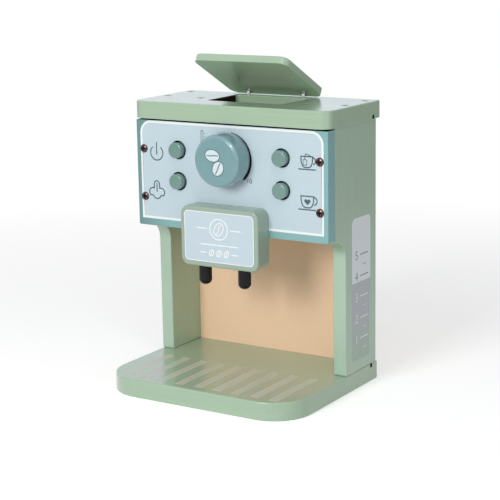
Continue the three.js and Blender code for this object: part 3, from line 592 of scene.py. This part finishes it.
# Top board: rounded front corners, the hatch opening, bores for the hinge barrels, countersunk holes
top = {"half": 96.7, "front": -14.8, "rear": 76, "low": 230.5, "high": 245.5, "corners": (10, 10, 1.5, 1.5),
       "edge": 1.0, "lowEdge": 0.4, "barrelY": 64.8, "barrelFoot": 236.6}
hatch = {"half": 37, "front": 12, "rear": 60.8, "corner": 3, "edge": 0.6, "bareFront": 15, "bareRear": 57.8,
         "bareInner": 33, "bareOuter": 37.1, "below": 226, "above": 250}
topLoop = rectangle(*bothSides(top["half"]), top["front"], top["rear"], top["corners"], 16)
hatchLoop = rectangle(*bothSides(hatch["half"]), hatch["front"], hatch["rear"], (hatch["corner"],) * 4)
topCutters = [rod(barrel["bore"], top["barrelFoot"], hatch["above"], x, top["barrelY"]) for x in bothSides(barrel["x"])]
topCutters += [countersink(x, y, top["high"], -1) for x in bothSides(screwAt["x"]) for y in screwAt["top"]]
topCutters += [countersink(x, screwAt["hopper"][1], top["high"], -1) for x in bothSides(screwAt["hopper"][0])]
# Painted shade: the groove and the hatch opening's side walls are cut with the near-black finish
topShadeCutters = [grooveCutter(226, 234)]
for left, right in ((-hatch["bareOuter"], -hatch["bareInner"]), (hatch["bareInner"], hatch["bareOuter"])):
    topShadeCutters.append(box((left, hatch["bareFront"], hatch["below"]), (right, hatch["bareRear"], hatch["above"])))
topSlab = slab(topLoop, top["low"], top["high"], "up", top["edge"], top["lowEdge"], [hatchLoop], hatch["edge"])
makePiece("topBoard", [topSlab], "sage", "housing", ["top_board"], topCutters, shadeCutters=topShadeCutters)
print("top board ready")

# Front panel with its printed field, framed in white
panel = {"half": 95, "low": 136.4, "high": 229.6, "sawn": 228.95, "front": 12, "corner": 1.6, "edge": 0.5,
         "holeEdge": 0.3, "knobBore": 2.3, "buttonHole": 8.0}
headScrews = [(x, screwAt["head"][1]) for x in bothSides(screwAt["head"][0])]
panelHoles = [circle(*place, screwHole["bore"], 24) for place in panelScrews.values()]
panelHoles.append(circle(*knobPlace, panel["knobBore"], 24))
panelHoles += [circle(*place, screwHole["bore"], 24) for place in headScrews]
panelLoop = rectangle(*bothSides(panel["half"]), panel["low"], panel["high"], (panel["corner"],) * 4)
# Painted shade: the button holes and the top edge are cut with the near-black finish
panelShadeCutters = [rod(panel["buttonHole"], -2, panel["front"] + 2, *place, "front", 48) for place in buttonPlaces.values()]
panelShadeCutters.append(box((-99, -14, panel["sawn"]), (99, 2, 232)))  # painted shade: the top edge is dark where the gap under the top board is shaded
panelSlab = slab(panelLoop, 0, panel["front"], "front", panel["edge"], holes=panelHoles, holeEdge=panel["holeEdge"])
makePiece("frontPanel", [panelSlab], "teal", "housing", ["front_panel"], (), shadeCutters=panelShadeCutters)

field = {"half": 91, "low": 142.7, "high": 228.6, "border": 2.0, "radius": 11, "buttonHole": 8.05}


def fieldOutline(inset):
    radius = field["radius"] - inset
    return rectangle(-field["half"] + inset, field["half"] - inset, field["low"] + inset, field["high"] - inset,
                     (0, 0, radius, radius))


fieldLoop = fieldOutline(field["border"])
onTeal = ("front", "teal_paint")
printShapes("whiteBorder", [(fieldOutline(0), [fieldLoop])], "white", "housing", panel["front"], *onTeal)
fieldHoles = [circle(*place, field["buttonHole"]) for place in buttonPlaces.values()]
fieldHoles += [circle(*place, screwHole["bore"], 24) for place in panelScrews.values()]
printShapes("paleField", [(fieldLoop, fieldHoles)], "field", "housing", panel["front"], *onTeal)
onField = panel["front"] + layer["second"]


def turned(a, b, angle, points):  # points about the origin, turned and moved to (a, b)
    return [Vector((a + p * math.cos(angle) - q * math.sin(angle), b + p * math.sin(angle) + q * math.cos(angle)))
            for p, q in points]


def crease(a, b, length, bend, angle, steps=10):  # the curved crease of a bean
    spans = [k / steps * 2 - 1 for k in range(steps + 1)]
    return turned(a, b, angle, [(t * length, bend * math.sin(math.pi * t)) for t in spans])


def oval(a, b, halfLength, halfWidth, angle, sides=36):
    turns = [2 * math.pi * k / sides for k in range(sides)]
    return turned(a, b, angle, [(halfLength * math.cos(t), halfWidth * math.sin(t)) for t in turns])


def cupOutline(left, right, low, high):  # a round-bottomed cup, drawn from its left lip to its right lip
    width, height = right - left, high - low
    half = [(width * 0.03, height * 0.45), (width * 0.14, height * 0.14), (width * 0.3, 0)]
    return ([(left, high)] + [(left + a, low + b) for a, b in half]
            + [(right - a, low + b) for a, b in half[::-1]] + [(right, high)])


def heart(a, b, size, sides=28):
    points = []
    for k in range(sides):
        t = 2 * math.pi * k / sides
        height = 13 * math.cos(t) - 5 * math.cos(2 * t) - 2 * math.cos(3 * t) - math.cos(4 * t)
        points.append(Vector((a + size * math.sin(t) ** 3, b + size * height / 16)))
    return points[::-1]


# The icons' strokes, each with its points on the panel and its width
iconLine, fineLine = 1.05, 0.5
powerShapes = [stroke(arcPoints(-74.2, 200.9, 6.4, 128, 412, 30), iconLine),
               stroke([(-74.2, 199.2), (-74.2, 210)], iconLine)]
puff = arcPoints(-75, 173.5, 2.7, 180, 0, 8) + arcPoints(-70.7, 166.3, 3.7, 112, -52, 10)
puff += arcPoints(-75, 164.9, 4.3, -18, -162, 10) + arcPoints(-79.3, 166.3, 3.7, 232, 68, 10)
steamShapes = [stroke(puff, iconLine, True), stroke([(-75, 174.2), (-75, 166.6)], iconLine)]
teaShapes = [
    stroke(cupOutline(69.8, 80.8, 198.6, 207.6), iconLine), stroke([(69.4, 207.6), (81.2, 207.6)], iconLine),
    stroke(arcPoints(80.6, 204.2, 2.9, -78, 84, 8), iconLine), stroke([(67.4, 197), (83.8, 197)], iconLine),
    stroke(rectangle(71.9, 75.3, 200.5, 204.9, (0.5,) * 4, 2), 0.6, True),
    stroke([(73.3, 205.2), (74.4, 209.8), (79.4, 208.0)], 0.7)]
heartShapes = [
    stroke(cupOutline(69.6, 81.6, 165.4, 174.9), iconLine), stroke([(69.2, 174.9), (82, 174.9)], iconLine),
    stroke(arcPoints(81.4, 171.2, 3.3, -84, 88, 8), iconLine), stroke([(67, 163.7), (83.5, 163.7)], iconLine),
    (heart(75.6, 170.3, 2.9), [])]
thermometer = [(-27.6, 212), (-27.6, 222), *arcPoints(-26.6, 222, 1.0, 180, 0, 6), (-25.6, 212)]
thermometer += arcPoints(-26.6, 210.6, 1.9, 50, -230, 10)
thermometerShapes = [stroke(thermometer, fineLine, True), stroke([(-24.4, 220.6), (-23.2, 220.6)], fineLine),
                     stroke([(-24.4, 217.8), (-23.2, 217.8)], fineLine)]
icons = {"powerIcon": powerShapes, "steamIcon": steamShapes, "teaIcon": teaShapes, "heartIcon": heartShapes,
         "thermometerIcon": thermometerShapes}
for name, shapes in icons.items():
    printShapes(name, shapes, "line", "housing", onField, *onTeal)

# The temperature arc: a thin line at the top that swells clockwise and ends in a slanted point
heatArc = {"start": 84, "end": -46, "tip": -53, "radius": 22.1, "grow": 1.3, "thin": 0.4, "thick": 2.6,
           "tipInset": 1.2, "steps": 40, "numberHeight": 4.0, "numberPlace": (20.4, 183.2), "numberLift": 0.01}


def roundKnob(radius, degrees):
    angle = math.radians(degrees)
    return Vector((knobPlace[0] + radius * math.cos(angle), knobPlace[1] + radius * math.sin(angle)))


outerSide, innerSide = [], []
for k in range(heatArc["steps"] + 1):
    share = k / heatArc["steps"]
    degrees = heatArc["start"] + (heatArc["end"] - heatArc["start"]) * share
    outer = heatArc["radius"] + heatArc["grow"] * share ** 2.7
    outerSide.append(roundKnob(outer, degrees))
    innerSide.append(roundKnob(outer - heatArc["thin"] - (heatArc["thick"] - heatArc["thin"]) * share, degrees))
arcTip = roundKnob(heatArc["radius"] + heatArc["grow"] - heatArc["tipInset"], heatArc["tip"])
printShapes("heatArc", [(innerSide + [arcTip] + outerSide[::-1], [])], "dark", "housing", onField, *onTeal)
number = numeral("10", heatArc["numberHeight"], *heatArc["numberPlace"], onField + heatArc["numberLift"], "front")
makePiece("heatNumber", [number], "dark", "housing")
print("front panel ready")

# Push buttons: turned stems with a collar behind the panel and a blind bore for the spring
button = {"radius": 6.8, "front": 17.8, "edge": 1.2, "collar": 10, "collarFront": -0.3, "collarDepth": 3,
          "collarEdge": 0.3, "bore": 4.75, "boreDepth": 11}
# Button springs: wound steel wire between button and spring board, built at rest; the real ones are pressed together as
# a button goes in
spring = {"radius": 4, "wire": 0.45, "front": -7.65, "rear": 8.75, "turns": 5, "steps": 16, "sides": 8, "travel": 3.5}


def coil(x, z):
    vertices, faces, sides = [], [], spring["sides"]
    around = 2 * math.pi * spring["radius"]
    count = spring["turns"] * spring["steps"]
    rise = spring["rear"] - spring["front"] - 2 * spring["wire"]
    for k in range(count + 1):
        angle = 2 * math.pi * k / spring["steps"]
        outward = Vector((math.cos(angle), 0, math.sin(angle)))
        along = Vector((-math.sin(angle) * around, rise / spring["turns"], math.cos(angle) * around)).normalized()
        middle = Vector((x, spring["front"] + spring["wire"] + rise * k / count, z)) + outward * spring["radius"]
        for point in circle(0, 0, spring["wire"], sides):
            vertices.append(middle + outward * point.x + along.cross(outward) * point.y)
    for k in range(count):
        for j in range(sides):
            following = (j + 1) % sides
            faces.append((k * sides + j, k * sides + following, (k + 1) * sides + following, (k + 1) * sides + j))
    return vertices, faces + [tuple(range(sides)), tuple(range(count * sides, (count + 1) * sides))]


rear, front, edge = button["collarFront"] - button["collarDepth"], button["collarFront"], button["collarEdge"]
buttonProfile = [(0, rear + button["boreDepth"]), (button["bore"], rear + button["boreDepth"]), (button["bore"], rear),
                 (button["collar"] - edge, rear), (button["collar"], rear + edge), (button["collar"], front - edge),
                 (button["collar"] - edge, front), (button["radius"], front)]
edge = button["edge"]
buttonProfile += arcPoints(button["radius"] - edge, button["front"] - edge, edge, 0, 90, 6)
buttonProfile.append((0, button["front"]))
for (row, column), (x, z) in buttonPlaces.items():
    makePiece(row + column.title() + "Button", [lathe(buttonProfile, x, z, "front")], "button", f"{row}_{column}_key",
              [f"{row}_{column}_button"], ())
for (row, column), (x, z) in buttonPlaces.items():
    piece = makePiece(row + column.title() + "Spring", [coil(x, z)], "zinc", "housing", [f"{row}_{column}_spring"],
                      ())
    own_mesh(piece)
print("buttons ready")

# Knob: a thick turned disc with two printed coffee beans
knob = {"radius": 23, "rim": 21.8, "face": 19.2, "front": 32, "rear": 17, "chamfer": 1.3, "rearEdge": 0.6, "edge": 1.4,
        "bore": 2.3, "boreDepth": 10.8, "outline": 0.8, "crease": 0.9, "bend": 0.2}
knobProfile = roundedLoop([
    (0, knob["rear"] + knob["boreDepth"], 0), (knob["bore"], knob["rear"] + knob["boreDepth"], 0),
    (knob["bore"], knob["rear"], 0), (knob["radius"], knob["rear"], knob["rearEdge"]),
    (knob["rim"], knob["front"] - knob["chamfer"], knob["edge"]), (knob["face"], knob["front"], knob["edge"]),
    (0, knob["front"], 0),
], 5)
makePiece("turnKnob", [lathe(knobProfile, *knobPlace, "front", 128)], "knob", "dial", ["knob"], ())
beans = [  # place, half length, half width and angle, then the crease's half length and angle
    (-3.4, 205.7, 7.2, 5.2, -8, 5.6, 1), (1.9, 195.1, 6.5, 5.4, 60, 5.3, 62)]
bodies = [oval(a, b, length, width, math.radians(angle)) for a, b, length, width, angle, *_ in beans]
creases = [stroke(crease(a, b, length, knob["bend"], math.radians(angle)), knob["crease"])
           for a, b, *_, length, angle in beans]
onKnob = ("front", "knob_paint")
printShapes("beanBodies", [(body, []) for body in bodies], "bean", "dial", knob["front"], *onKnob)
printShapes("beanOutlines", [stroke(body, knob["outline"], True) for body in bodies] + creases, "outline", "dial",
            knob["front"] + layer["second"], *onKnob)
print("knob ready")

# Brew head: a rounded block with a printed plate and sockets for the nozzles
head = {"half": 38.5, "low": 109.9, "high": 161.4, "front": 30, "rear": 12.05, "corner": 7.5, "edge": 1.3,
        "rearEdge": 0.3, "socket": (5.8, 107, 123.9), "screwBore": (2.05, 8, 24.3)}
headLoop = rectangle(*bothSides(head["half"]), head["low"], head["high"], (head["corner"],) * 4, 12)
headCutters = [rod(*head["socket"], x, nozzlePlace[1]) for x in bothSides(nozzlePlace[0])]
headCutters += [rod(*head["screwBore"], *place, "front") for place in headScrews]
makePiece("brewHead", [slab(headLoop, head["rear"], head["front"], "front", head["edge"], lowEdge=head["rearEdge"])],
          "head", "housing", ["brew_head"], headCutters)
plate = {"half": 34.6, "low": 114.4, "high": 157.5, "corner": 4.0, "outline": 0.7}
plateLoop = rectangle(*bothSides(plate["half"]), plate["low"], plate["high"], (plate["corner"],) * 4)
plateInner = offsetLoop(plateLoop, plate["outline"])
onHead = ("front", "head_paint")
printShapes("headPlate", [(plateInner, [])], "plate", "housing", head["front"], *onHead)
motif = {"beanZ": 143.2, "ring": 8.8, "bean": (5.9, 4.1), "small": (2.9, 2.0), "smallX": (-7.5, 0, 7.5),
         "smallZ": 122.6, "lean": math.radians(58), "line": 0.95, "ruleZ": 129.6}
motifBeans = [(0, motif["beanZ"], *motif["bean"])] + [(x, motif["smallZ"], *motif["small"]) for x in motif["smallX"]]
motifShapes = [(plateLoop, [plateInner]), stroke(circle(0, motif["beanZ"], motif["ring"]), motif["line"], True)]
for a, b, length, width in motifBeans:
    motifShapes.append(stroke(oval(a, b, length, width, motif["lean"]), motif["line"] * 0.9, True))
    motifShapes.append(stroke(crease(a, b, length * 0.84, width * 0.16, motif["lean"]), motif["line"] * 0.8))
for left, right, z in ((-22, -11.5, motif["beanZ"]), (11.5, 22, motif["beanZ"]), (-19, 19, motif["ruleZ"]),
                       (-19, -12.5, motif["smallZ"]), (12.5, 19, motif["smallZ"])):
    motifShapes.append(stroke([(left, z), (right, z)], motif["line"]))
printShapes("headMotif", motifShapes, "white", "housing", head["front"] + layer["second"], *onHead)

nozzle = {"radius": 5.5, "dome": 4.6, "tip": 92.6, "top": 123.6, "edge": 0.4, "steps": 10}
quarter = [math.pi / 2 * k / nozzle["steps"] for k in range(1, nozzle["steps"] + 1)]
nozzleProfile = [(0, nozzle["tip"])]
nozzleProfile += [(nozzle["radius"] * math.sin(t), nozzle["tip"] + nozzle["dome"] * (1 - math.cos(t))) for t in quarter]
nozzleProfile += [(nozzle["radius"], nozzle["top"] - nozzle["edge"]),
                  (nozzle["radius"] - nozzle["edge"], nozzle["top"]), (0, nozzle["top"])]
for name, x in zip(("left", "right"), bothSides(nozzlePlace[0])):
    makePiece(name + "Nozzle", [lathe(nozzleProfile, x, nozzlePlace[1], "up")], "black", "housing", [name + "_nozzle"],
              ())
print("brew head ready")

# Screws: domed heads on the panel, countersunk heads in the top board, all with cross recesses
screw = {"shank": 1.75, "point": 3, "recessWidth": 1.2, "recessLength": 4.8, "recessDepth": 1.2, "recessRound": 0.9}
dome = {"face": 12.05, "radius": 3.7, "rim": 0.35, "height": 1.35, "length": 30, "steps": 7}
flat = {"face": 245.3, "radius": 3.3, "rim": 0.3, "edge": 0.12, "cone": 2.1, "length": 32}


def crossCutters(x, y, face, facing):  # two crossed slots in a head, x and y on the face
    long, wide = screw["recessLength"] / 2, screw["recessWidth"] / 2
    return [slab(rectangle(x - a, x + a, y - b, y + b, (wide * screw["recessRound"],) * 4, 3),
                 face - screw["recessDepth"], face + 2, facing) for a, b in ((long, wide), (wide, long))]


quarter = [math.pi / 2 * k / dome["steps"] for k in range(dome["steps"])]
crown = dome["rim"] + dome["height"]
domeProfile = [(0, -dome["length"]), (screw["shank"], screw["point"] - dome["length"]), (screw["shank"], 0),
               (dome["radius"], 0)]
domeProfile += [(dome["radius"] * math.cos(t), dome["rim"] + dome["height"] * math.sin(t)) for t in quarter]
domeProfile = [(radius, dome["face"] + height) for radius, height in domeProfile + [(0, crown)]]
# Painted shade: the cross recesses of both kinds of screw are cut with the near-black finish
for (row, column), (x, z) in panelScrews.items():
    makePiece(row + column.title() + "PanelScrew", [lathe(domeProfile, x, z, "front", 32)], "brown", "housing",
              [f"{row}_{column}_panel_screw"], (),
              shadeCutters=crossCutters(x, z, dome["face"] + crown, "front"))

flatProfile = [(0, -flat["length"]), (screw["shank"], screw["point"] - flat["length"]),
               (screw["shank"], -flat["cone"]), (flat["radius"], -flat["rim"]), (flat["radius"], -flat["edge"]),
               (flat["radius"] - flat["edge"], 0), (0, 0)]
flatProfile = [(radius, flat["face"] + height) for radius, height in flatProfile]
farX, (frontY, rearY), (hopperX, hopperY) = screwAt["x"], screwAt["top"], screwAt["hopper"]
countersunk = {"left_front_top_screw": (-farX, frontY), "left_rear_top_screw": (-farX, rearY),
               "right_front_top_screw": (farX, frontY), "right_rear_top_screw": (farX, rearY),
               "left_hopper_screw": (-hopperX, hopperY), "right_hopper_screw": (hopperX, hopperY)}
for node, (x, y) in countersunk.items():
    words = node.split("_")
    makePiece(words[0] + "".join(word.title() for word in words[1:]), [lathe(flatProfile, x, y, "up", 32)], "zinc",
              "housing", [node], (), shadeCutters=crossCutters(x, y, flat["face"], "up"))
print("screws ready")

# Hatch lid: made closed on its hinge axis, then opened to the angle at which it rests
lid = {"left": -47.4, "right": 44.8, "length": 73.4, "thickness": 6.5, "corner": 8, "edge": 0.9, "lowEdge": 0.4,
       "lift": 0.15, "hinge": (0, 70.4, 245.65), "barrelY": -5.6, "barrelTop": 5.4, "restAngle": 28}
lidJoint = next(joint for joint in frame["joints"] if joint["name"] == "lid_hinge")
restAngle = -lidJoint["range_deg"][0] if "range_deg" in lidJoint else lid["restAngle"]
lidLoop = rectangle(lid["left"], lid["right"], -lid["length"], 0, (lid["corner"],) * 4, 16)
lidCutters = [rod(barrel["bore"], -2, lid["barrelTop"], x, lid["barrelY"]) for x in bothSides(barrel["x"])]
lidSlab = slab(lidLoop, lid["lift"], lid["lift"] + lid["thickness"], edge=lid["edge"], lowEdge=lid["lowEdge"])
opened = Matrix.Translation(Vector(lid["hinge"]) * mm) @ Matrix.Rotation(math.radians(-restAngle), 4, "X")
makePiece("hatchLid", [lidSlab], "sage", "lid", ["hatch_lid"], lidCutters, opened)
print("lid ready")

# Solids of the frame whose shapes stay get their real finishes
carried = {
    "peach": ["back_panel"], "bare": ["hopper_shelf", "spring_board", "left_hopper_wall", "right_hopper_wall"],
    "nickel": ["left_board_barrel", "right_board_barrel", "left_lid_barrel", "right_lid_barrel", "left_hinge_link",
               "right_hinge_link"],
    "zinc": ["knob_bolt", "knob_rear_washer", "left_head_screw", "right_head_screw", "left_front_base_screw",
             "left_rear_base_screw", "right_front_base_screw", "right_rear_base_screw"],
    "nylon": ["knob_front_washer"],
}
for finish, nodes in carried.items():
    for node in nodes:
        for materialSlot in frame["nodes"][node].material_slots:
            materialSlot.material = materials[finish]
print("carried solids finished:", sum(map(len, carried.values())))


def seenRays(tree):  # the light path, and a mask of what the camera sees, also through clear parts
    rays = addNode(tree, "LightPath").outputs
    links = {0: rays["Is Camera Ray"], 1: rays["Is Transmission Ray"]}
    return rays, addNode(tree, "Math", {"operation": "MAXIMUM"}, links)


# A pale floor that shows white to the camera and keeps the machine's shadow. Reflections see it fade with distance.
stage = {"half": 12.0, "colour": "#f4f4f3", "shade": 0.985, "grain": (3, 3, 3), "near": 0.3, "far": 0.9, "lift": 0.45,
         "mirrorNear": 0.3, "mirrorFar": 1.1}
floorMesh = bpy.data.meshes.new("floor")
floorMesh.from_pydata([(x * stage["half"], y * stage["half"], 0) for x, y in ((-1, -1), (1, -1), (1, 1), (-1, 1))],
                      [], [(0, 1, 2, 3)])
floor = newObject("floor", floorMesh)
floorMaterial, tree, place = newMaterial("palePaperSweep")
distance = addNode(tree, "VectorMath", {"operation": "LENGTH"}, {0: place}).outputs[1]
tone = shadesOf(tree, patternAt(tree, place, stage["grain"]), stage["colour"], stage["shade"], 1.0)
rays, seen = seenRays(tree)
ends = {"From Min": stage["mirrorNear"], "From Max": stage["mirrorFar"], "To Min": 1, "To Max": 0}
closeBy = addNode(tree, "MapRange", ends, {"Value": distance})
mirrored = addNode(tree, "Math", {"operation": "MULTIPLY"}, {0: rays["Is Glossy Ray"], 1: closeBy})
shown = addNode(tree, "Math", {"operation": "MAXIMUM"}, {0: seen, 1: mirrored})
ends = {"From Min": stage["near"], "From Max": stage["far"]}
farOff = addNode(tree, "MapRange", ends, {"Value": distance})
away = addNode(tree, "Math", {"operation": "MULTIPLY"}, {0: farOff, 1: seen})
matte = addNode(tree, "BsdfDiffuse", {}, {"Color": tone})
lift = addNode(tree, "Math", {"operation": "MULTIPLY", 1: stage["lift"]}, {0: shown})
glow = addNode(tree, "Emission", {"Color": (1, 1, 1, 1)}, {"Strength": lift})
near = addNode(tree, "AddShader", {}, {0: matte, 1: glow})
white = addNode(tree, "Emission", {"Color": (1, 1, 1, 1), "Strength": 1.0})
addNode(tree, "OutputMaterial", {}, {"Surface": addNode(tree, "MixShader", {}, {0: away, 1: near, 2: white})})
floorMesh.materials.append(floorMaterial)

backdrop = {"ambient": 0.36, "colour": "#f6f8fa", "mirrored": "#f0f5ff", "bright": 1.18}
world = bpy.data.worlds.new("studio")
bpy.context.scene.world = world
world.use_nodes = True
tree = world.node_tree
tree.nodes.clear()
rays, seen = seenRays(tree)
soft = addNode(tree, "Background", {"Color": linearFromHex(backdrop["colour"]), "Strength": backdrop["ambient"]})
plain = addNode(tree, "Background", {"Color": (1, 1, 1, 1), "Strength": 1.0})
cool = addNode(tree, "Background", {"Color": linearFromHex(backdrop["mirrored"]), "Strength": backdrop["bright"]})
mirrored = addNode(tree, "MixShader", {}, {0: rays["Is Glossy Ray"], 1: soft, 2: cool})
addNode(tree, "OutputWorld", {}, {"Surface": addNode(tree, "MixShader", {}, {0: seen, 1: mirrored, 2: plain})})

lamps = {
    "keyLight": {"place": (-0.08, -1.38, 0.66), "aim": (0, 0, 0.14), "size": (0.5, 0.5), "power": 11.0,
                 "long": (0, 0, 1)},
    "sideFill": {"place": (1.4, -0.5, 0.35), "aim": (0, 0, 0.14), "size": (0.9, 0.9), "power": 2.1,
                 "long": (0, 0, 1)},
    "topStrip": {"place": (0.47, -0.6, 1.14), "aim": (0, -0.02, 0.2), "size": (0.035, 0.75), "power": 1.5,
                 "long": (0.81, -0.21, -0.49)},
}
for name, lamp in lamps.items():
    light = bpy.data.lights.new(name, "AREA")
    light.shape = "RECTANGLE"
    light.size, light.size_y = lamp["size"]
    light.energy = lamp["power"]
    away = (Vector(lamp["place"]) - Vector(lamp["aim"])).normalized()
    along = (Vector(lamp["long"]) - away * away.dot(Vector(lamp["long"]))).normalized()
    axes = Matrix((along.cross(away), along, away)).transposed().to_4x4()
    newObject(name, light).matrix_world = Matrix.Translation(lamp["place"]) @ axes

view = {"place": (0.66708, -1.03679, 0.38960), "yaw": 0.5636, "pitch": -0.2154, "roll": -0.0168, "lens": 106.085,
        "sensor": 36}
level = Vector((math.cos(view["yaw"]), math.sin(view["yaw"]), 0))
flatLook = math.cos(view["pitch"])
look = Vector((-math.sin(view["yaw"]) * flatLook, math.cos(view["yaw"]) * flatLook, math.sin(view["pitch"])))
upright = level.cross(look)
rightward = level * math.cos(view["roll"]) + upright * math.sin(view["roll"])
upward = upright * math.cos(view["roll"]) - level * math.sin(view["roll"])
camera = newObject("camera", bpy.data.cameras.new("camera"))
camera.data.lens, camera.data.sensor_width = view["lens"], view["sensor"]
camera.matrix_world = Matrix.Translation(view["place"]) @ Matrix((rightward, upward, -look)).transposed().to_4x4()
bpy.context.scene.camera = camera
bpy.context.scene.view_settings.view_transform = "Standard"
print("stage, lights and camera ready")
